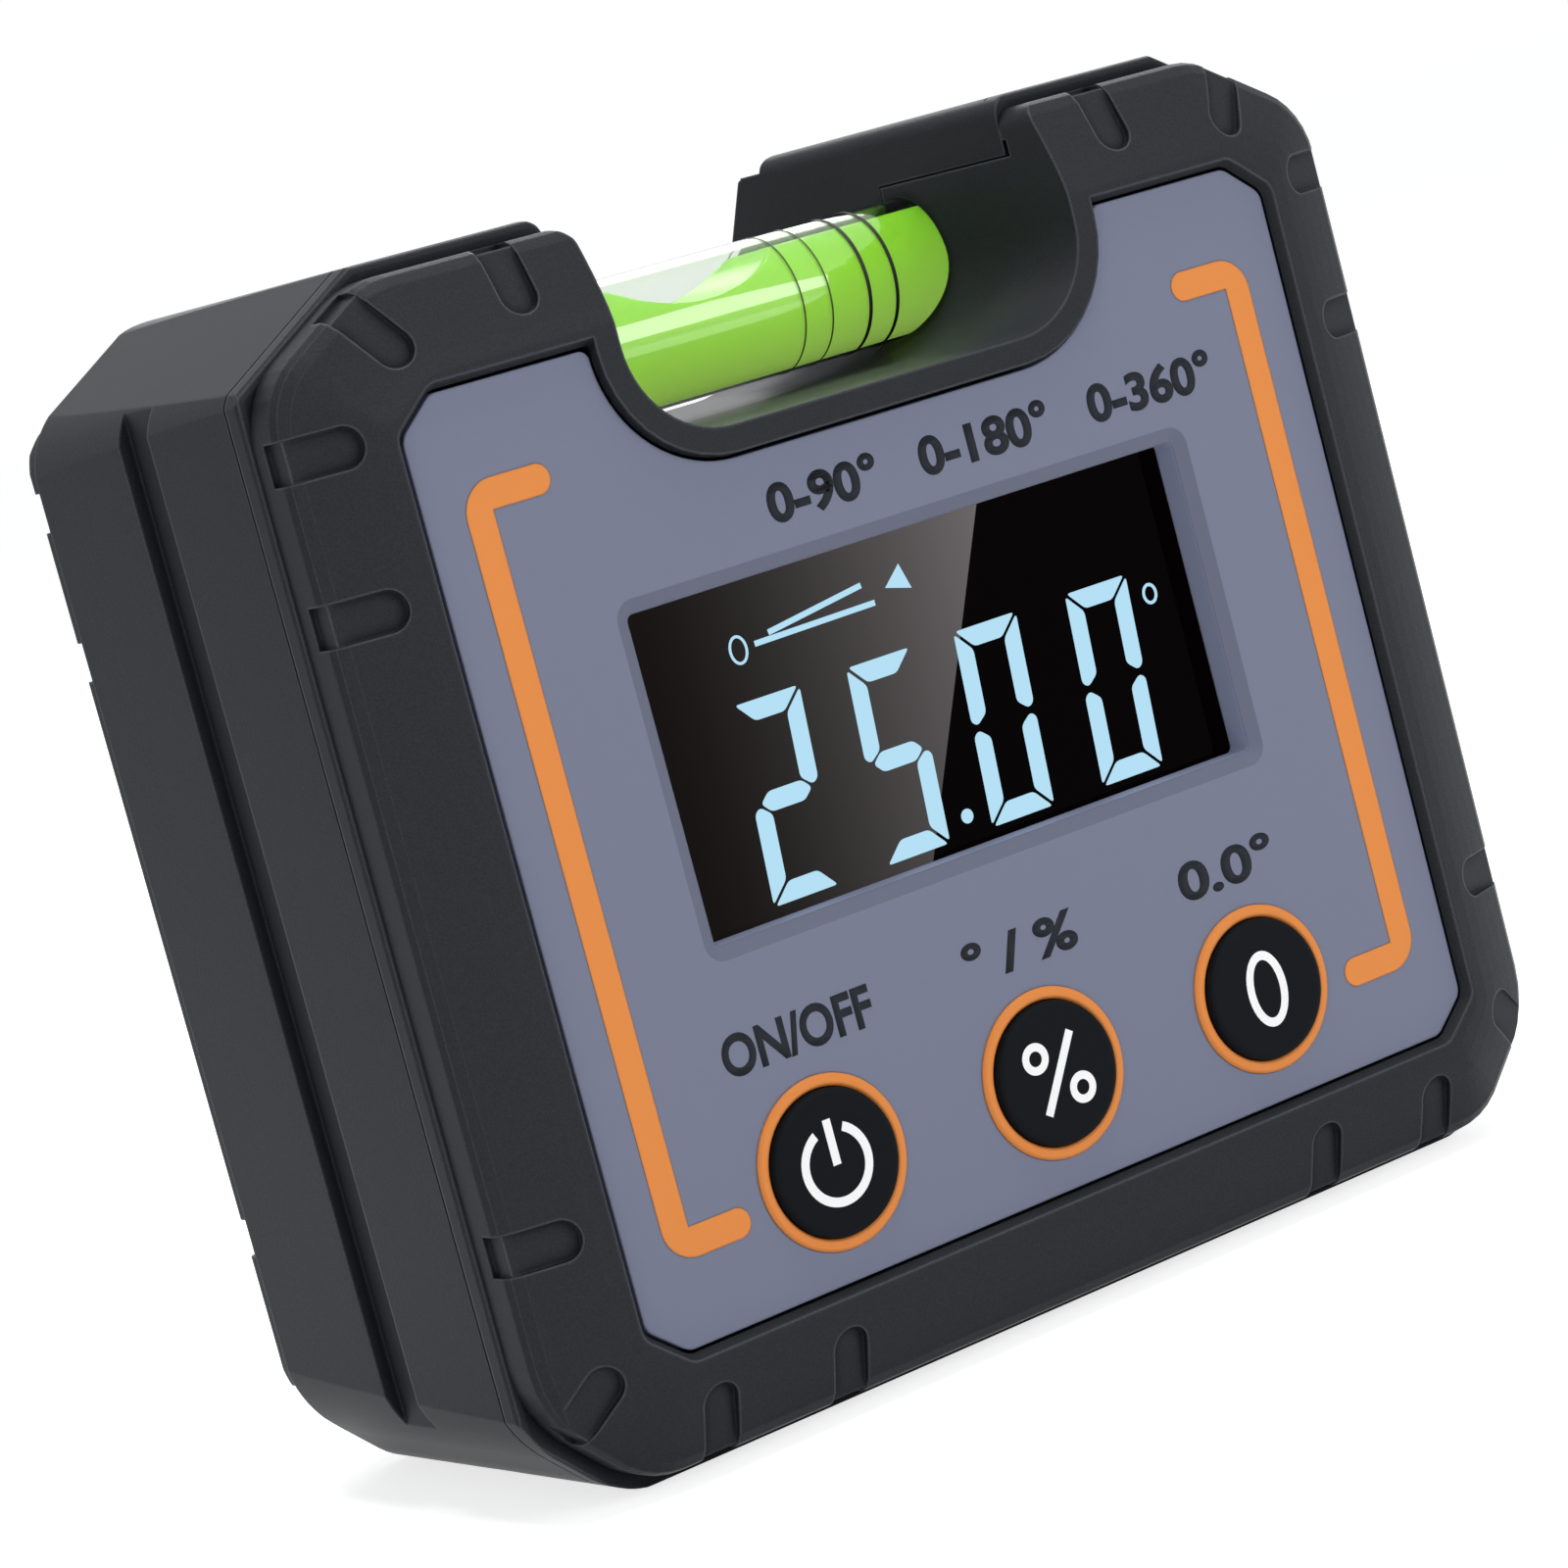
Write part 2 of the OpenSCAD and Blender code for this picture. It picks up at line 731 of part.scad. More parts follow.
// Flat-bottomed grooves that seat the side walls and the base on a pipe
module pipe_grooves() {
    floor_x = half_w - draft / 2 - groove_d;
    y0 = groove_y - groove_w / 2;
    y1 = groove_y + groove_w / 2;
    block(floor_x, half_w + over, y0, y1, -over, body_h);
    block(-half_w - over, -floor_x, y0, y1, -over, body_h);
    block(-half_w, half_w, y0, y1, -over, groove_d);
}

module rear_posts(r, y0, y1) {
    for (s = [-1, 1]) {
        rod(s * post_x1, post_z1, r, y0, y1);
        rod(s * post_x2, post_z2, r, y0, y1);
    }
}

module magnet_pockets(r, t) {
    for (s = [-1, 1]) for (y = [y_seam + magnet_edge + magnet_r, y_band - magnet_edge - magnet_r])
        translate([s * (half_w - magnet_side), y, 0])
            cylinder(r = r, h = t);
}

// Room of the closed door grown by g on its outline
module door_shape(g) {
    block(-door_x - g, door_x + g, y_door, y_back + over, hinge_z, door_z1 + g);
    block(-door_x - g, door_x + g, y_door, y_back + over, door_z0 - door_swing, hinge_z + g);
}

module rear_shell() {
    color([0.15, 0.16, 0.165])
        difference() {
            union() {
                difference() {
                    rear_form();
                    deep(y_seam - over, y_rear_wall)
                        outline(wall);
                }
                deep(y_seam + slice, y_rear_wall + slice)
                    intersection() {
                        notch_shape(notch_wall, body_h);
                        outline(band_step);
                    }
                rear_posts(post_r, y_board_back, y_rear_wall + slice);
                block(-well_len / 2 - well_wall, well_len / 2 + well_wall,
                      well_y - well_wall, y_rear_wall + slice,
                      well_z0 - well_wall, well_z1 + well_wall);
            }
            cradle_room(cradle_play);
            front_posts(post_r, y_inner);
            notch_cut(y_seam - over, y_back + over, body_h);
            vial_bore();
            deep(y_seam + bead_w, y_seam + bead_w + crease)
                difference() {
                    outline(-over);
                    rounded(inset(wall_points, at_seam(crease)), corner_radii);
                }
            rear_slots();
            pipe_grooves();
            translate([0, 0, -over])
                magnet_pockets(magnet_r + magnet_play, magnet_t + over);
            rear_posts(screw_r + screw_play, y_board_back - over, y_back);
            rear_posts(head_r + screw_play, y_back - head_t - head_sunk, y_back + over);
            block(-well_len / 2, well_len / 2, well_y, y_back + over, well_z0, well_z1);
            door_shape(door_play);
            for (s = [-1, 1])
                bar(s * door_x - pin_len - door_play, s * door_x + pin_len + door_play,
                    hinge_y, hinge_z, pin_r + pin_play);
            rod(0, door_z1, scoop_r, y_back - door_t / 2, y_back + over);
        }
}

// Window outline moved inward by g
module window_shape(g) {
    soft_rect(g - window_w / 2, window_w / 2 - g, window_z + g, window_z + window_h - g,
              max(lip_r - g, lip_r / 3));
}

// Chamfered edge of the display window
module window_lip() {
    hull() {
        deep(y_panel - over, y_panel)
            window_shape(0, $fn = hull_fn);
        deep(y_panel + lip_d - slice, y_panel + lip_d)
            window_shape(lip_w, $fn = hull_fn);
    }
}

module bracket(x0, y0, y1) {
    deep(y0, y1)
        difference() {
            soft_rect(x0, x0 + 2 * stripe_arm, stripe_z, stripe_z + stripe_h, stripe_r);
            translate([x0 + stripe_w, stripe_z + stripe_w])
                square([2 * stripe_arm, stripe_h - 2 * stripe_w]);
            for (z = [stripe_z, stripe_z + stripe_h - stripe_w])
                difference() {
                    translate([x0 + stripe_arm - stripe_w / 2, z - stripe_w])
                        square([2 * stripe_arm, 3 * stripe_w]);
                    translate([x0 + stripe_arm - stripe_w / 2, z + stripe_w / 2])
                        circle(stripe_w / 2);
                }
        }
}

module face_panel() {
    color([0.47, 0.49, 0.56])
        difference() {
            deep(y_panel, y_floor)
                difference() {
                    rounded(panel_points, panel_r);
                    notch_shape(notch_land, body_h);
                    notch_mouth(notch_land, panel_mouth_r, panel_top);
                }
            window_lip();
            deep(y_panel, y_floor + over)
                window_shape(lip_w);
            for (x = button_places)
                rod(x, button_z, ring_r, y_panel - over, y_floor + over);
            bracket(-stripe_x, y_panel - over, y_panel + inlay_d);
            mirror([1, 0, 0])
                bracket(-stripe_x, y_panel - over, y_panel + inlay_d);
        }
}

module left_bracket() {
    color([0.87, 0.56, 0.34])
        bracket(-stripe_x, y_panel - inlay_proud, y_panel + inlay_d);
}

module right_bracket() {
    color([0.87, 0.56, 0.34])
        mirror([1, 0, 0])
            bracket(-stripe_x, y_panel - inlay_proud, y_panel + inlay_d);
}

module display_lens() {
    color([0.06, 0.06, 0.07])
        block(-lens_w / 2, lens_w / 2, y_floor, y_lens, window_z - lens_over, window_mid + lens_h / 2);
}

module display_module() {
    color([0.12, 0.13, 0.14])
        block(-lens_w / 2, lens_w / 2, y_lens, y_lcd, window_z - lens_over, window_mid + lens_h / 2);
}

module backlight() {
    color([0.85, 0.87, 0.9])
        block(light_in - lens_w / 2, lens_w / 2 - light_in, y_lcd, y_board,
              window_z - lens_over + light_in, window_mid + lens_h / 2 - light_in);
}

module circuit_board() {
    color([0.1, 0.32, 0.18])
        deep(y_board, y_board_back)
            difference() {
                outline(board_in);
                translate([-half_w, board_top])
                    square([body_w, body_h]);
                for (s = [-1, 1])
                    translate([s * post_x2, post_z2])
                        circle(screw_r + screw_play);
            }
}

module tilt_sensor() {
    color([0.1, 0.1, 0.1])
        block(-sensor_w / 2, sensor_w / 2, y_board_back, y_board_back + chip_t,
              board_top - 2 * sensor_w, board_top - sensor_w);
}

module controller_chip() {
    color([0.12, 0.12, 0.12])
        block(chip_w, 2 * chip_w, y_board_back, y_board_back + chip_t,
              board_top - 2 * chip_w, board_top - chip_w);
}

module ring(x) {
    color([0.87, 0.56, 0.34])
        translate([x, y_floor, button_z])
            rotate([90, 0, 0])
                rotate_extrude()
                    polygon([[cap_r + cap_play, 0], [ring_r, 0],
                             [ring_r, panel_t + ring_proud - soft_edge],
                             [ring_r - soft_edge, panel_t + ring_proud],
                             [cap_r + cap_play + soft_edge, panel_t + ring_proud],
                             [cap_r + cap_play, panel_t + ring_proud - soft_edge]]);
}

module cap(x) {
    front = panel_t + cap_proud;
    stem = y_board - y_floor - switch_h - button_travel * 9 / 4;
    color([0.11, 0.115, 0.12])
        translate([x, y_floor, button_z])
            rotate([90, 0, 0])
                rotate_extrude()
                    polygon([[0, -stem], [stem_r, -stem], [stem_r, -cap_play - flange_t],
                             [flange_r, -cap_play - flange_t], [flange_r, -cap_play],
                             [cap_r, -cap_play], [cap_r, front - 2 * soft_edge],
                             [cap_r - soft_edge / 2, front - soft_edge / 2],
                             [cap_r - 2 * soft_edge, front], [0, front]]);
}

module power_ring() {
    ring(button_places[0]);
}

module mode_ring() {
    ring(button_places[1]);
}

module hold_ring() {
    ring(button_places[2]);
}

module power_button() {
    cap(button_places[0]);
}

module mode_button() {
    cap(button_places[1]);
}

module hold_button() {
    cap(button_places[2]);
}

module tact_switches() {
    color([0.3, 0.3, 0.32])
        for (x = button_places) {
            block(x - switch_w / 2, x + switch_w / 2, y_board - switch_h, y_board,
                  button_z - switch_w / 2, button_z + switch_w / 2);
            rod(x, button_z, stem_r, y_board - switch_h - button_travel, y_board - switch_h / 2);
        }
}

module vial_tube() {
    color([0.85, 0.9, 0.88, 0.35])
        difference() {
            bar(-vial_half, vial_half, vial_y, vial_z, vial_r);
            bar(vial_plug - vial_half, vial_half - vial_plug, vial_y, vial_z, liquid_r);
        }
}

module vial_liquid() {
    rise = liquid_r - bubble_r - slice;
    reach = bubble_len / 2 - bubble_r;
    color([0.55, 0.78, 0.15])
        difference() {
            bar(vial_plug - vial_half, vial_half - vial_plug, vial_y, vial_z, liquid_r);
            bar(bubble_x - reach, bubble_x + reach, vial_y, vial_z + rise, bubble_r);
            for (s = [-1, 1])
                translate([bubble_x + s * reach, vial_y, vial_z + rise])
                    sphere(bubble_r);
        }
}

module mark(x, w) {
    difference() {
        bar(x - w / 2, x + w / 2, vial_y, vial_z, vial_r + mark_t);
        bar(x - w, x + w, vial_y, vial_z, vial_r);
    }
}

module vial_bold_marks() {
    color([0.08, 0.1, 0.06])
        for (s = [-1, 1]) for (x = [mark_bold_1, mark_bold_2])
            mark(s * x, bold_w);
}

module vial_fine_marks() {
    color([0.3, 0.36, 0.2])
        for (s = [-1, 1]) for (x = [mark_fine_1, mark_fine_2])
            mark(s * x, fine_w);
}

module battery_door() {
    color([0.15, 0.16, 0.165])
        difference() {
            union() {
                block(-door_x, door_x, y_door + slice, y_back, hinge_z, door_z1);
                bar(-door_x, door_x, hinge_y, hinge_z, door_t / 2 - slice);
                bar(-door_x - pin_len, door_x + pin_len, hinge_y, hinge_z, pin_r);
            }
            for (i = [0 : 3])
                block(-scoop_r, scoop_r, y_back - rib_w / 2, y_back + over,
                      door_z1 - rib_w * (2 * i + 3), door_z1 - rib_w * (2 * i + 2));
        }
}

module cell(z, way) {
    color([0.75, 0.62, 0.3])
        translate([0, cell_y, z])
            rotate([0, 90 * way, 0])
                translate([0, 0, -cell_len / 2]) {
                    cylinder(r = cell_r, h = cell_len);
                    cylinder(r = tip_r, h = cell_len + cell_tip);
                }
}

module upper_cell() {
    cell(cell_z + cell_pitch, 1);
}

module lower_cell() {
    cell(cell_z, -1);
}

// Contact for one cell: plate at the tip end, plate and spring at the flat end
module contact(z, way) {
    end = well_len / 2;
    free = end - contact_t - cell_len / 2;
    translate([0, cell_y, z])
        rotate([0, 90 * way, 0]) {
            translate([-cell_r, -cell_r, end - contact_t])
                cube([2 * cell_r, 2 * cell_r, contact_t]);
            translate([0, 0, cell_len / 2 + cell_tip])
                cylinder(r = tip_r, h = free - cell_tip + slice);
            translate([-cell_r, -cell_r, -end])
                cube([2 * cell_r, 2 * cell_r, contact_t]);
            for (i = [0 : 3])
                translate([0, 0, i * (free - 2 * wire_r) / 3 - cell_len / 2 - free])
                    difference() {
                        cylinder(r = spring_r, h = 2 * wire_r);
                        translate([0, 0, -wire_r])
                            cylinder(r = spring_r - 2 * wire_r, h = 4 * wire_r);
                    }
            for (s = [-1, 1])
                translate([s * (spring_r - wire_r) - wire_r / 2, -wire_r, -cell_len / 2 - free])
                    cube([wire_r, 2 * wire_r, free]);
        }
}

module cell_contacts() {
    color([0.75, 0.75, 0.77]) {
        contact(cell_z + cell_pitch, 1);
        contact(cell_z, -1);
    }
}

module base_magnets() {
    color([0.72, 0.73, 0.75])
        translate([0, 0, magnet_play])
            magnet_pockets(magnet_r, magnet_t - magnet_play);
}

module case_screws() {
    color([0.55, 0.56, 0.58])
        difference() {
            union() {
                rear_posts(screw_r, y_floor + floor_t / 2, y_back - head_sunk - head_t / 2);
                rear_posts(head_r, y_back - head_sunk - head_t, y_back - head_sunk);
            }
            for (a = [0, 90]) for (s = [-1, 1]) for (p = [[post_x1, post_z1], [post_x2, post_z2]])
                translate([s * p[0], y_back - head_sunk, p[1]])
                    rotate([0, a, 0])
                        block(-head_r * 2 / 3, head_r * 2 / 3, -head_t / 2, over,
                              -head_r / 7, head_r / 7);
        }
}

front_bezel();
rear_shell();
face_panel();
left_bracket();
right_bracket();
display_lens();
display_module();
backlight();
circuit_board();
tilt_sensor();
controller_chip();
power_ring();
mode_ring();
hold_ring();
power_button();
mode_button();
hold_button();
tact_switches();
vial_tube();
vial_liquid();
vial_bold_marks();
vial_fine_marks();
battery_door();
upper_cell();
lower_cell();
cell_contacts();
base_magnets();
case_screws();
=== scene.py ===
"""Looks of the digital angle gauge: materials, vial, print, display, floor, light and camera."""
import json
import math

import bmesh
import bpy
from mathutils import Matrix, Vector


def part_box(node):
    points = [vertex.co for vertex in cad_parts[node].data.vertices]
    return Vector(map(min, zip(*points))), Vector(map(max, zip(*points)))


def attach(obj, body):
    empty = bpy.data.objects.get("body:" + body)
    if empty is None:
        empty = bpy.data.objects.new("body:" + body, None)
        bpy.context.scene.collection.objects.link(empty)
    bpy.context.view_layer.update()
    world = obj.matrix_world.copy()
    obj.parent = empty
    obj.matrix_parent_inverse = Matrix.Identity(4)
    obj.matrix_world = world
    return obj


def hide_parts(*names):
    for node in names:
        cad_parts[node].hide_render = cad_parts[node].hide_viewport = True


MM = 0.001

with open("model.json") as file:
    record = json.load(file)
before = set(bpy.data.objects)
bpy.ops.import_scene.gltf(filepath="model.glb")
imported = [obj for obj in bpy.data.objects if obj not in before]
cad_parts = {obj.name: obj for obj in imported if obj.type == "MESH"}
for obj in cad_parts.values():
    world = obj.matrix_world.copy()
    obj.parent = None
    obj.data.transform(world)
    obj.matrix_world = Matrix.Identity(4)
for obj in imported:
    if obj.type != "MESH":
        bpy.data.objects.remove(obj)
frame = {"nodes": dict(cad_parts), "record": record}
scene = bpy.context.scene
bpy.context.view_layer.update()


# Places taken from the frame

def centre(node):
    low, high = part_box(node)
    return (low + high) / 2


PANEL_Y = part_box("face_panel")[0].y
PANEL_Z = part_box("face_panel")[0].z
PANEL_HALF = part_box("face_panel")[1].x
LENS_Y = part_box("display_lens")[0].y
CAP_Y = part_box("power_button")[0].y
VIAL = centre("vial_tube")
VIAL_R = (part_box("vial_tube")[1].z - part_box("vial_tube")[0].z) / 2
TUBE_X = [corner.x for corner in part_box("vial_tube")]
LIQUID_X = [corner.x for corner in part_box("vial_liquid")]
SLOTS = {part["node"]: part["material_slot"] for part in frame["record"]["subparts"]}

# The vial as it is shown: the wall of its tube, and the room between the wall and the liquid
VIAL_WALL = 0.15 * MM
LIQUID_ROOM = 0.02 * MM
LIQUID_R = VIAL_R - VIAL_WALL - LIQUID_ROOM


# Shader nodes

def feed(tree, socket, value):
    """Set a socket to a value, or link it to another socket."""
    if isinstance(value, bpy.types.NodeSocket):
        tree.links.new(value, socket)
    else:
        socket.default_value = value


def add_node(tree, kind, options=None, values=(), **inputs):
    """New shader node with its options, its first inputs in order and others by name, _ for a space."""
    made = tree.nodes.new(kind)
    for key, value in (options or {}).items():
        setattr(made, key, value)
    for socket, value in zip(made.inputs, values):
        feed(tree, socket, value)
    for key, value in inputs.items():
        feed(tree, made.inputs[key.replace("_", " ")], value)
    return made


def calculated(tree, operation, *values):
    """Result of a Math node."""
    return add_node(tree, "ShaderNodeMath", {"operation": operation}, values).outputs["Value"]


def mapped(tree, value, start, end, first=0.0, last=1.0):
    """Value carried from the range start to end to the range first to last, held at its ends."""
    return add_node(
        tree, "ShaderNodeMapRange", Value=value, From_Min=start, From_Max=end, To_Min=first, To_Max=last
    ).outputs["Result"]


def blended(tree, share, low, high):
    """Colour that runs from low to high with share."""
    return add_node(
        tree, "ShaderNodeMix", {"data_type": "RGBA"}, Factor=share, A=low, B=high
    ).outputs["Result"]


def own_place(tree):
    """Sockets of a surface point's x, y and z."""
    place = add_node(tree, "ShaderNodeTexCoord").outputs["Object"]
    return add_node(tree, "ShaderNodeSeparateXYZ", Vector=place).outputs


# Materials

def linear(*screen):
    """Colour on a screen, 0 to 255, as the linear values that shaders take."""
    return tuple(
        c / 255 / 12.92 if c / 255 <= 0.04045 else ((c / 255 + 0.055) / 1.055) ** 2.4
        for c in screen
    )


def opaque(*screen):
    """The same with its alpha, for sockets that take one."""
    return (*linear(*screen), 1)


def material(name, colour, rough, metal=0.0, **sockets):
    """New material; sockets are more inputs of its shader, _ for a space."""
    made = bpy.data.materials.new(name)
    made.use_nodes = True
    shader = made.node_tree.nodes["Principled BSDF"]
    shader.inputs["Base Color"].default_value = (*colour, 1)
    shader.inputs["Roughness"].default_value = rough
    shader.inputs["Metallic"].default_value = metal
    for key, value in sockets.items():
        shader.inputs[key.replace("_", " ")].default_value = value
    return made


# Size and depth of each plastic's grain
CASE_GRAIN = (0.12 * MM, 0.018 * MM)
PANEL_GRAIN = (0.08 * MM, 0.003 * MM)
INLAY_GRAIN = (0.1 * MM, 0.001 * MM)
CAP_GRAIN = (0.1 * MM, 0.002 * MM)
GRAIN_DETAIL = 2
GRAIN_RANGE = (0.3, 0.7)

CASE_EDGE_R = 0.26 * MM
EDGE_R = 0.2 * MM
# Reach of the painted shade in narrow corners
CREVICE_REACH = 0.8 * MM
SHADING_SAMPLES = 4

# Share of open air over a point, from a narrow corner to a face; less open air gives more painted shade
OPEN_RANGE = (0.45, 0.95)
# Match of the true normal with the rounded one, from a face to an edge that gets a painted highlight
EDGE_HIGHLIGHT_RANGE = (0.98, 0.86)
# y of a normal, which is -1 on the front: from the front to a slope, and from a slope to a wall; painted
# shade falls on slopes and painted light on walls
LEANING_RANGE = (-0.995, -0.98)
UPRIGHT_RANGE = (-0.5, -0.2)


def painted_edge_corner_factors(tree, rounded_normal, corner_shade, edge_highlight):
    """Factors on the tone: painted shade that darkens narrow corners, and a painted highlight that lightens
    edges.
    """
    open_air = add_node(
        tree, "ShaderNodeAmbientOcclusion", {"samples": SHADING_SAMPLES}, Distance=CREVICE_REACH
    ).outputs["AO"]
    true_normal = add_node(tree, "ShaderNodeNewGeometry").outputs["Normal"]
    match = add_node(
        tree, "ShaderNodeVectorMath", {"operation": "DOT_PRODUCT"}, (true_normal, rounded_normal)
    ).outputs["Value"]
    return [
        mapped(tree, open_air, *OPEN_RANGE, 1 - corner_shade, 1),
        mapped(tree, match, *EDGE_HIGHLIGHT_RANGE, 1, 1 + edge_highlight),
    ]


def painted_lean_factors(tree, normal, slope, wall):
    """Factors on the tone: painted shade by slope for faces that lean away from the front, painted light by
    wall for those square to it.
    """
    y = add_node(tree, "ShaderNodeSeparateXYZ", Vector=normal).outputs["Y"]
    return [
        mapped(tree, y, *LEANING_RANGE, 1, slope),
        mapped(tree, y, *UPRIGHT_RANGE, 1, wall / slope),
    ]


def moulded(plastic, grain, tint=0.0, edge=EDGE_R, painted_light=None, lean=None):
    """Moulded surface: a grain, edges rounded to edge, and a tone that varies by tint, with painted shade in
    corners, painted highlights on edges, and painted shade and light by how a face leans.
    """
    tree = plastic.node_tree
    shader = tree.nodes["Principled BSDF"]
    size, depth = grain
    place = add_node(tree, "ShaderNodeTexCoord").outputs
    noise = add_node(
        tree, "ShaderNodeTexNoise", Vector=place["Object"], Scale=1 / size, Detail=GRAIN_DETAIL
    ).outputs["Fac"]
    rounded_normal = add_node(
        tree, "ShaderNodeBevel", {"samples": SHADING_SAMPLES}, Radius=edge
    ).outputs["Normal"]
    bump = add_node(tree, "ShaderNodeBump", Strength=1, Distance=depth, Height=noise, Normal=rounded_normal)
    feed(tree, shader.inputs["Normal"], bump.outputs["Normal"])
    if tint:
        tone = mapped(tree, noise, *GRAIN_RANGE, 1 - tint, 1 + tint)
        # Painted shade in corners and painted highlights on edges, then painted shade and light on leaning
        # faces
        factors = painted_edge_corner_factors(tree, rounded_normal, **painted_light) if painted_light else []
        factors += painted_lean_factors(tree, place["Normal"], **lean) if lean else []
        for factor in factors:
            tone = calculated(tree, "MULTIPLY", tone, factor)
        colour = shader.inputs["Base Color"].default_value[:3]
        toned = add_node(tree, "ShaderNodeVectorMath", {"operation": "SCALE"}, [colour], Scale=tone)
        feed(tree, shader.inputs["Base Color"], toned.outputs["Vector"])
    return plastic


# The glare painted on the display: where it starts, and the foot and head of the slanting edge where it ends
GLARE_START = -19 * MM
GLARE_FOOT = Vector((-3.3 * MM, 26.9 * MM))
GLARE_HEAD = Vector((6.3 * MM, 46.4 * MM))
GLARE_CURVE = 1.9


def lens_material():
    """Black glass with a painted glare: it glows paler towards a slanting edge and black beyond it."""
    glass = material("display_glass", (0, 0, 0), rough=0.06, Specular_IOR_Level=0.01, Emission_Strength=1)
    tree = glass.node_tree
    x, _, z = own_place(tree)
    lean = (GLARE_HEAD.x - GLARE_FOOT.x) / (GLARE_HEAD.y - GLARE_FOOT.y)
    rise = calculated(tree, "SUBTRACT", z, GLARE_FOOT.y)
    edge = calculated(tree, "MULTIPLY_ADD", rise, lean, GLARE_FOOT.x)
    # Painted glare, fixed on the glass
    painted_glare_share = calculated(tree, "POWER", mapped(tree, x, GLARE_START, GLARE_HEAD.x), GLARE_CURVE)
    painted_glare = blended(tree, painted_glare_share, opaque(21, 17, 16), opaque(107, 103, 104))
    painted_glare_colour = blended(tree, calculated(tree, "LESS_THAN", x, edge), opaque(3, 1, 1), painted_glare)
    feed(tree, tree.nodes["Principled BSDF"].inputs["Emission Color"], painted_glare_colour)
    return glass


def liquid_material():
    """Lime liquid with a painted glow, painted brighter and yellower towards the bottom of the vial."""
    liquid = material(
        "vial_liquid", linear(138, 206, 42), rough=0.2, Emission_Strength=0.5, Specular_IOR_Level=0.2
    )
    tree = liquid.node_tree
    _, _, z = own_place(tree)
    height = mapped(tree, z, VIAL.z - LIQUID_R, VIAL.z + LIQUID_R)
    # Painted glow, brighter towards the bottom
    glow = blended(tree, height, opaque(194, 240, 112), opaque(96, 178, 12))
    feed(tree, tree.nodes["Principled BSDF"].inputs["Emission Color"], glow)
    return liquid


MATERIALS = {
    "dark_plastic": moulded(
        material("dark_plastic", linear(47, 49, 53), rough=0.36, Specular_IOR_Level=0.04),
        # Painted shade in narrow corners and painted highlights along edges
        CASE_GRAIN, tint=0.15, edge=CASE_EDGE_R, painted_light={"corner_shade": 0.85, "edge_highlight": 3.0},
    ),
    "panel_plastic": moulded(
        material("panel_plastic", linear(116, 121, 142), rough=0.5, Specular_IOR_Level=0.2),
        # Painted shade on slopes and painted light on walls
        PANEL_GRAIN, tint=0.01, lean={"slope": 0.74, "wall": 1.7},
    ),
    "orange_plastic": moulded(
        material("orange_plastic", linear(228, 139, 67), rough=0.45, Specular_IOR_Level=0.2), INLAY_GRAIN
    ),
    "display_glass": lens_material(),
    "black_plastic": material("black_plastic", linear(24, 25, 27), rough=0.5),
    "diffuser_plastic": material("diffuser_plastic", linear(222, 226, 232), rough=0.5),
    "board_laminate": material("board_laminate", linear(28, 92, 54), rough=0.35),
    "cap_plastic": moulded(
        material("cap_plastic", linear(19, 22, 25), rough=0.5, Specular_IOR_Level=0.035), CAP_GRAIN
    ),
    "vial_acrylic": material("vial_acrylic", (0.9, 0.92, 0.91), rough=0, IOR=1.45, Transmission_Weight=1),
    "vial_liquid": liquid_material(),
    "mark_print": material("mark_print", linear(16, 20, 12), rough=0.6),
    "cell_jacket": material("cell_jacket", linear(176, 138, 60), rough=0.35, metal=0.6),
    "spring_steel": material("spring_steel", linear(190, 191, 194), rough=0.3, metal=1),
    "magnet_nickel": material("magnet_nickel", linear(184, 186, 189), rough=0.25, metal=1),
    "screw_steel": material("screw_steel", linear(140, 142, 145), rough=0.35, metal=1),
}
FINE_MARK = material("fine_mark", linear(62, 84, 30), rough=0.6)
LABEL_INK = material("label_ink", linear(26, 30, 36), rough=0.6, Specular_IOR_Level=0.15)
SIGN_INK = material("sign_ink", linear(250, 250, 250), rough=0.6)
SEGMENT_LIGHT = material(
    "segment_light", (0, 0, 0), rough=0.5,
    Emission_Strength=1, Emission_Color=opaque(181, 224, 245), Specular_IOR_Level=0,
)


# Pieces

SMOOTH_ANGLE = math.radians(30)


def split_edges(piece):
    """Keep an edge sharp where its faces meet at more than SMOOTH_ANGLE."""
    piece.modifiers.new("split", "EDGE_SPLIT").split_angle = SMOOTH_ANGLE


def linked(name, data):
    """New object in the scene."""
    made = bpy.data.objects.new(name, data)
    scene.collection.objects.link(made)
    return made


def piece_from(name, bm, ink):
    """New piece with the faces of bm, in one material."""
    mesh = bpy.data.meshes.new(name)
    bmesh.ops.recalc_face_normals(bm, faces=bm.faces[:])
    bm.to_mesh(mesh)
    bm.free()
    mesh.materials.append(ink)
    return linked(name, mesh)


for node, slot in SLOTS.items():
    solid = frame["nodes"][node]
    solid.data.materials.clear()
    solid.data.materials.append(MATERIALS[slot])
    for face in solid.data.polygons:
        face.use_smooth = True
    split_edges(solid)
frame["nodes"]["vial_fine_marks"].data.materials[0] = FINE_MARK


# Vial

BUBBLE_MIDDLE = -1 * MM
BUBBLE_HALF = 5.6 * MM
FILL_LEVEL = 0.83 * LIQUID_R
BUBBLE_DEPTH = 0.47 * LIQUID_R
BUBBLE_CURVE = 0.8
LIQUID_STEPS = 100
STEPS_AROUND = 120

MARK_T = 0.03 * MM
BOLD_W = 0.24 * MM
FINE_W = 0.1 * MM
MARK_MIDDLE = -1.6 * MM
BOLD_PLACES = (11.35 * MM, 13.35 * MM)
FINE_PLACES = (6.55 * MM, 8.55 * MM)


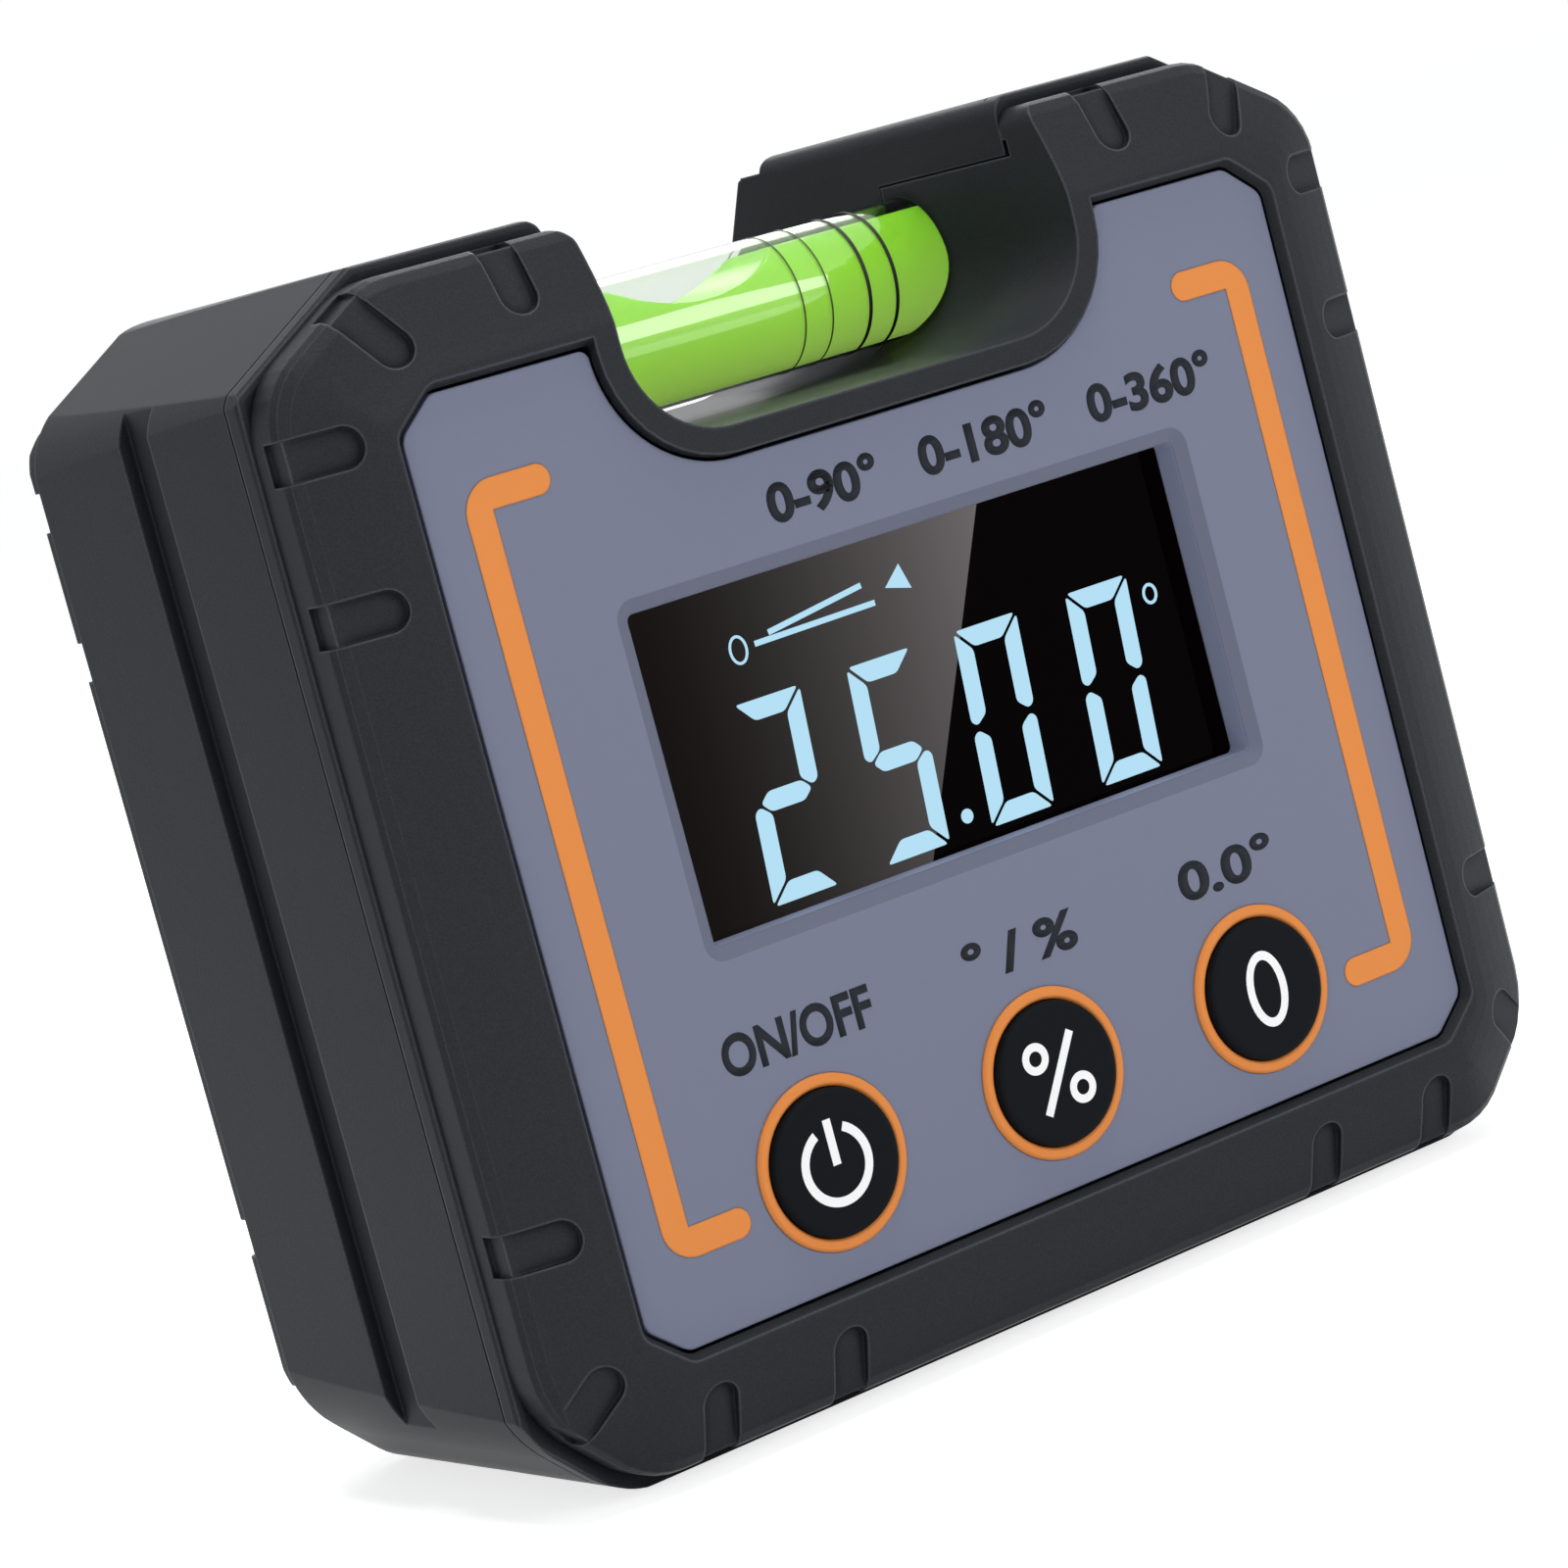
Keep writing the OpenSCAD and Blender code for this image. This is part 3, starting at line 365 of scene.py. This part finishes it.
def liquid_top(x):
    """Height of the liquid over the vial's axis: it dips under the bubble."""
    share = min(1, abs(x - BUBBLE_MIDDLE) / BUBBLE_HALF)
    return FILL_LEVEL - BUBBLE_DEPTH * (1 - share**2) ** BUBBLE_CURVE


def ring_at(x, radius, top=math.inf):
    """Points round the vial's axis at x, none higher over it than top."""
    turns = [math.tau * k / STEPS_AROUND for k in range(STEPS_AROUND)]
    return [(x, VIAL.y + radius * math.cos(t), VIAL.z + min(top, radius * math.sin(t))) for t in turns]


def vial_piece(name, node, ink, groups, closed=False):
    """Each group of rings is skinned; a closed one runs back to its first ring, others get end faces."""
    bm = bmesh.new()
    for rings in groups:
        made = [[bm.verts.new(point) for point in ring] for ring in rings]
        pairs = list(zip(made, made[1:])) + ([(made[-1], made[0])] if closed else [])
        for one, other in pairs:
            for k in range(STEPS_AROUND):
                bm.faces.new([one[k - 1], one[k], other[k], other[k - 1]]).smooth = True
        if not closed:
            bm.faces.new(made[0])
            bm.faces.new(made[-1])
    piece = piece_from(name, bm, ink)
    split_edges(piece)
    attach(piece, "housing")
    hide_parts(node)


def tube():
    """Rings of the clear tube, round its outside and back along its bore."""
    bore = VIAL_R - VIAL_WALL
    return [ring_at(TUBE_X[0], VIAL_R), ring_at(TUBE_X[1], VIAL_R),
            ring_at(TUBE_X[1], bore), ring_at(TUBE_X[0], bore)]


def liquid():
    """Rings of the liquid, each cut off level with the liquid's top."""
    start, end = LIQUID_X
    places = [start + (end - start) * i / LIQUID_STEPS for i in range(LIQUID_STEPS + 1)]
    return [ring_at(x, LIQUID_R, liquid_top(x)) for x in places]


def band(x, width):
    """Rings of a band printed round the tube."""
    outside = VIAL_R + MARK_T
    start, end = x - width / 2, x + width / 2
    return [ring_at(start, VIAL_R), ring_at(start, outside), ring_at(end, outside), ring_at(end, VIAL_R)]


def bands(places, width):
    """Bands at each place on both sides of the marks' middle."""
    return [band(MARK_MIDDLE + side * place, width) for side in (-1, 1) for place in places]


vial_piece("clear_tube", "vial_tube", MATERIALS["vial_acrylic"], [tube()], closed=True)
vial_piece("lime_liquid", "vial_liquid", MATERIALS["vial_liquid"], [liquid()])
vial_piece("bold_bands", "vial_bold_marks", MATERIALS["mark_print"], bands(BOLD_PLACES, BOLD_W), closed=True)
vial_piece("fine_bands", "vial_fine_marks", FINE_MARK, bands(FINE_PLACES, FINE_W), closed=True)


# Print

PRINT_T = 0.02 * MM
LETTER_STEPS = 6
OVAL_STEPS = 40
DISC_STEPS = 24


def raised(name, bm, ink):
    """New piece: the flat faces of bm, grown forwards by the thickness of print."""
    grown = bmesh.ops.extrude_face_region(bm, geom=bm.faces[:])
    moved = [item for item in grown["geom"] if isinstance(item, bmesh.types.BMVert)]
    bmesh.ops.translate(bm, verts=moved, vec=(0, -PRINT_T, 0))
    return piece_from(name, bm, ink)


def flat_print(name, shapes, y, ink):
    """Print on the plane at y; each shape is a list of (x, z) points."""
    bm = bmesh.new()
    for shape in shapes:
        bm.faces.new([bm.verts.new((x, y, z)) for x, z in shape])
    return raised(name, bm, ink)


def fitted(places, span):
    """Places carried so that they fill the span."""
    start, end = span
    low = min(places)
    scale = (end - start) / (max(places) - low)
    return [start + (place - low) * scale for place in places]


def lettering(name, words, x_span, z_span, weight):
    """Words printed on the panel, fitted to a span in x and in z."""
    curve = bpy.data.curves.new(name, "FONT")
    curve.body = words
    curve.size = 1
    curve.offset = weight
    curve.resolution_u = LETTER_STEPS
    typed = linked(name + "_curve", curve)
    bpy.context.view_layer.update()
    flat = bpy.data.meshes.new_from_object(typed.evaluated_get(bpy.context.evaluated_depsgraph_get()))
    bpy.data.objects.remove(typed)
    bm = bmesh.new()
    bm.from_mesh(flat)
    bpy.data.meshes.remove(flat)
    across = fitted([v.co.x for v in bm.verts], x_span)
    upwards = fitted([v.co.y for v in bm.verts], z_span)
    for v, x, z in zip(bm.verts, across, upwards):
        v.co = (x, PANEL_Y, z)
    return raised(name, bm, LABEL_INK)


def on_oval(middle, radii, turn):
    """Point of an oval at an angle."""
    return (middle[0] + radii[0] * math.cos(turn), middle[1] + radii[1] * math.sin(turn))


def oval(middle, radii, width, start=0, end=360):
    """Stroke along an oval, from start to end degrees, as one quad a step."""
    turns = [math.radians(start + (end - start) * i / OVAL_STEPS) for i in range(OVAL_STEPS + 1)]
    outer, inner = [
        [on_oval(middle, [radius + off for radius in radii], turn) for turn in turns]
        for off in (width / 2, -width / 2)
    ]
    return [[outer[i], outer[i + 1], inner[i + 1], inner[i]] for i in range(OVAL_STEPS)]


def disc(middle, radius):
    return [on_oval(middle, (radius, radius), math.tau * i / DISC_STEPS) for i in range(DISC_STEPS)]


def stroke(start, end, width):
    """Straight stroke with square ends, as four points."""
    along = Vector(end) - Vector(start)
    side = Vector((-along.y, along.x)).normalized() * width / 2
    corners = ((start, 1), (end, 1), (end, -1), (start, -1))
    return [(x + sign * side.x, z + sign * side.y) for (x, z), sign in corners]


def on_body(piece, body):
    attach(piece, body)


def on_panel(*shares):
    """Shares of half the panel's width as places: x from the middle, z from the panel's lower edge."""
    x, z = shares
    return (x * PANEL_HALF, PANEL_Z + z * PANEL_HALF)


# Each line of words: its letters, how bold they are, its ends in x, and its foot and top in z
LINE_WEIGHT = 0.035
LABEL_WEIGHT = 0.03
LABEL_Z_SHARES = (0.433, 0.513)
WORD_SHARES = {
    "range_line": ("0-90°   0-180°   0-360°", LINE_WEIGHT, (-0.30, 0.775), (1.366, 1.446)),
    "label_power": ("ON/OFF", LABEL_WEIGHT, (-0.70, -0.36), LABEL_Z_SHARES),
    "label_units": ("° / %", LABEL_WEIGHT, (-0.14, 0.13), LABEL_Z_SHARES),
    "label_zero": ("0.0°", LABEL_WEIGHT, (0.39, 0.63), LABEL_Z_SHARES),
}
for name, (words, weight, x_shares, z_shares) in WORD_SHARES.items():
    (left, foot), (right, top) = (on_panel(*corner) for corner in zip(x_shares, z_shares))
    on_body(lettering(name, words, (left, right), (foot, top), weight), "housing")


# Signs on the caps, with places from the middle of each cap
SIGN_W = 0.53 * MM
POWER_MIDDLE = (-0.08 * MM, -0.06 * MM)
POWER_R = 2.1 * MM
POWER_ARC = (116, 424)
POWER_BAR_FOOT = (POWER_MIDDLE[0], -0.1 * MM)
POWER_BAR_HEAD = (POWER_MIDDLE[0], 2.5 * MM)
SLASH_FOOT = (-1.4 * MM, -2.1 * MM)
SLASH_HEAD = (1.4 * MM, 2.1 * MM)
DOT_PLACES = ((-1.35 * MM, 1.25 * MM), (1.35 * MM, -1.25 * MM))
DOT_R = 0.68 * MM
DOT_W = 0.9 * SIGN_W
ZERO_RADII = (1.2 * MM, 2 * MM)


def sign_on(node, body, name, shapes):
    """Sign printed on a cap, which moves with it."""
    middle = centre(node)
    placed = [[(middle.x + x, middle.z + z) for x, z in shape] for shape in shapes]
    on_body(flat_print(name, placed, CAP_Y, SIGN_INK), body)


power_ring = oval(POWER_MIDDLE, (POWER_R, POWER_R), SIGN_W, *POWER_ARC)
power_bar = stroke(POWER_BAR_FOOT, POWER_BAR_HEAD, SIGN_W)
slash = stroke(SLASH_FOOT, SLASH_HEAD, SIGN_W)
dots = [quad for place in DOT_PLACES for quad in oval(place, (DOT_R, DOT_R), DOT_W)]
sign_on("power_button", "power_key", "power_sign", power_ring + [power_bar])
sign_on("mode_button", "mode_key", "units_sign", [slash] + dots)
sign_on("hold_button", "hold_key", "zero_sign", oval((0, 0), ZERO_RADII, SIGN_W))


# Display

SEGMENTS = {"0": "abcdef", "2": "abged", "5": "afgcd"}
DIGIT_W = 0.152 * PANEL_HALF
DIGIT_LEAN = 0.025 * PANEL_HALF
DIGIT_STROKE = 0.038 * PANEL_HALF
SEGMENT_GAP = 0.12 * DIGIT_STROKE
SEGMENT_TIP = 0.35 * DIGIT_STROKE
SEGMENT_ROUND = 0.22 * DIGIT_STROKE
ROUND_STEPS = 3
FINE_STROKE = 0.0055 * PANEL_HALF
DEGREE_STROKE = 1.15 * FINE_STROKE
ICON_STROKE = 0.011 * PANEL_HALF
POINT_R = 0.014 * PANEL_HALF
DEGREE_RADII = (0.0148 * PANEL_HALF, 0.0178 * PANEL_HALF)
PIVOT_RADII = (0.018 * PANEL_HALF, 0.025 * PANEL_HALF)

DIGIT_X_SHARES = (("2", -0.467), ("5", -0.205), ("0", 0.050), ("0", 0.324))
DIGIT_Z_SHARES = (0.692, 1.068)
POINT_SHARES = (0, 0.729)
DEGREE_SHARES = (0.5475, 1.017)
PIVOT_SHARES = (-0.3985, 1.1635)
ARROW_SHARES = ((-0.049, 1.188), (0.009, 1.173), (-0.007, 1.224))
LINE_SHARES = (((-0.326, 1.1774), (-0.101, 1.207)), ((-0.361, 1.165), (-0.080, 1.168)))


def rounded(points, reach):
    """Outline with each corner rounded over a length reach of its edges."""
    out = []
    for i, corner in enumerate(points):
        tip = Vector(corner)
        before = Vector(points[i - 1]) - tip
        after = Vector(points[(i + 1) % len(points)]) - tip
        start = tip + before.normalized() * min(reach, before.length / 2)
        end = tip + after.normalized() * min(reach, after.length / 2)
        for k in range(ROUND_STEPS + 1):
            t = k / ROUND_STEPS
            out.append(tuple(start.lerp(tip, t).lerp(tip.lerp(end, t), t)))
    return out


def digit(sign, left):
    """Seven-segment digit as polygons, leaning a little to the right."""
    right = left + DIGIT_W
    foot, top = (PANEL_Z + share * PANEL_HALF for share in DIGIT_Z_SHARES)
    middle = (foot + top) / 2
    wide, gap, tip = DIGIT_STROKE, SEGMENT_GAP, SEGMENT_TIP
    half = wide / 2

    def at(x, z):
        return (x + DIGIT_LEAN * (z - foot) / (top - foot), z)

    def level(end, inward):
        """Segment along the foot or the top; inward is 1 or -1, towards the middle."""
        inner = end + inward * wide
        return [at(left + gap, end), at(left + wide + gap, inner),
                at(right - wide - gap, inner), at(right - gap, end)]

    def upright(side, across, end, inward):
        """Segment along a side, from the foot or the top to the middle."""
        return [
            at(side, end + inward * gap),
            at(side, middle - inward * (gap + half / 2)),
            at(side + across * tip, middle - inward * gap),
            at(side + across * wide, middle - inward * (half + gap)),
            at(side + across * wide, end + inward * (wide + gap)),
        ]

    outlines = {
        "a": level(top, -1),
        "b": upright(right, -1, top, -1),
        "c": upright(right, -1, foot, 1),
        "d": level(foot, 1),
        "e": upright(left, 1, foot, 1),
        "f": upright(left, 1, top, -1),
        "g": [
            at(left + tip + gap, middle), at(left + wide, middle + half),
            at(right - wide, middle + half), at(right - tip - gap, middle),
            at(right - wide, middle - half), at(left + wide, middle - half),
        ],
    }
    return [rounded(outlines[segment], SEGMENT_ROUND) for segment in SEGMENTS[sign]]


def line_between(start_shares, end_shares):
    return stroke(on_panel(*start_shares), on_panel(*end_shares), ICON_STROKE)


display_shapes = [shape for sign, share in DIGIT_X_SHARES for shape in digit(sign, share * PANEL_HALF)]
display_shapes.append(disc(on_panel(*POINT_SHARES), POINT_R))
display_shapes += oval(on_panel(*DEGREE_SHARES), DEGREE_RADII, DEGREE_STROKE)
display_shapes += oval(on_panel(*PIVOT_SHARES), PIVOT_RADII, FINE_STROKE)
display_shapes.append([on_panel(*corner_shares) for corner_shares in ARROW_SHARES])
display_shapes += [line_between(*ends) for ends in LINE_SHARES]
on_body(flat_print("display_digits", display_shapes, LENS_Y, SEGMENT_LIGHT), "housing")


# Floor and surroundings

FLOOR_HALF = 3.0
FLOOR_GLOW = 0.72
SKY_FILL = 0.26
SKY_COLOUR = (0.93, 0.96, 1, 1)


def seen_rays(tree):
    """1 for rays from the camera, or off or through shiny things; 0 for rays that light the object."""
    path = add_node(tree, "ShaderNodeLightPath").outputs
    seen = path["Is Camera Ray"]
    for kind in ("Is Glossy Ray", "Is Transmission Ray"):
        seen = calculated(tree, "MAXIMUM", seen, path[kind])
    return seen


def floor_material():
    """White that glows to the rays that are seen, so that only the contact shadow shows."""
    white = material("floor_white", (0.8, 0.8, 0.8), rough=0.9)
    tree = white.node_tree
    strength = calculated(tree, "MULTIPLY", seen_rays(tree), FLOOR_GLOW)
    glow = add_node(tree, "ShaderNodeEmission", Strength=strength).outputs["Emission"]
    lit = tree.nodes["Principled BSDF"].outputs["BSDF"]
    both = add_node(tree, "ShaderNodeAddShader", values=(lit, glow)).outputs["Shader"]
    feed(tree, tree.nodes["Material Output"].inputs["Surface"], both)
    return white


floor_mesh = bpy.data.meshes.new("floor")
corner_signs = ((-1, -1), (1, -1), (1, 1), (-1, 1))
floor_corners = [(x * FLOOR_HALF, y * FLOOR_HALF, 0) for x, y in corner_signs]
floor_mesh.from_pydata(floor_corners, [], [(0, 1, 2, 3)])
floor_mesh.materials.append(floor_material())
floor = linked("floor", floor_mesh)

world = bpy.data.worlds.new("studio")
scene.world = world
world.use_nodes = True
sky = world.node_tree
sky.nodes.clear()
shown = add_node(sky, "ShaderNodeBackground", Color=(1, 1, 1, 1)).outputs["Background"]
fill = add_node(sky, "ShaderNodeBackground", Color=SKY_COLOUR, Strength=SKY_FILL).outputs["Background"]
mix = add_node(sky, "ShaderNodeMixShader", values=(seen_rays(sky), fill, shown))
add_node(sky, "ShaderNodeOutputWorld", Surface=mix.outputs["Shader"])


# Lamps: place and size in metres, power in watts

LAMP_AIM = Vector((0, 0, 34 * MM))
SOFTBOXES = {
    "top": ((0.05, 0.0, 0.6), (0.35, 0.35), 2.7),
    "front": ((0.25, -0.65, 0.28), (0.4, 0.3), 1.85),
    "back": ((0.35, 0.45, 0.4), (0.4, 0.3), 0.9),
    "left": ((-0.5, -0.35, 0.15), (0.25, 0.3), 0.6),
}
for name, (place, size, power) in SOFTBOXES.items():
    lamp = bpy.data.lights.new(name, "AREA")
    lamp.shape = "RECTANGLE"
    lamp.size, lamp.size_y = size
    lamp.energy = power
    softbox = linked(name, lamp)
    softbox.location = place
    softbox.rotation_euler = (LAMP_AIM - Vector(place)).to_track_quat("-Z", "Y").to_euler()


# Camera, solved from the photograph; its sensor and lens are in millimetres, as Blender takes them

SENSOR_W = 36
FOCAL_LENGTH = 113.14
CLIP_START = 0.01
CAMERA_PLACE = Vector((-156.76 * MM, -242.04 * MM, 67.16 * MM))
CAMERA_RIGHT = Vector((0.797314, -0.54686, -0.25541))
CAMERA_BACK = Vector((-0.534969, -0.836239, 0.120466))

camera_data = bpy.data.cameras.new("camera")
camera_data.sensor_width = SENSOR_W
camera_data.lens = FOCAL_LENGTH
camera_data.clip_start = CLIP_START
camera = linked("camera", camera_data)
turn = Matrix((CAMERA_RIGHT, CAMERA_BACK.cross(CAMERA_RIGHT), CAMERA_BACK)).transposed()
camera.matrix_world = Matrix.Translation(CAMERA_PLACE) @ turn.to_4x4()
scene.camera = camera
scene.view_settings.view_transform = "Standard"
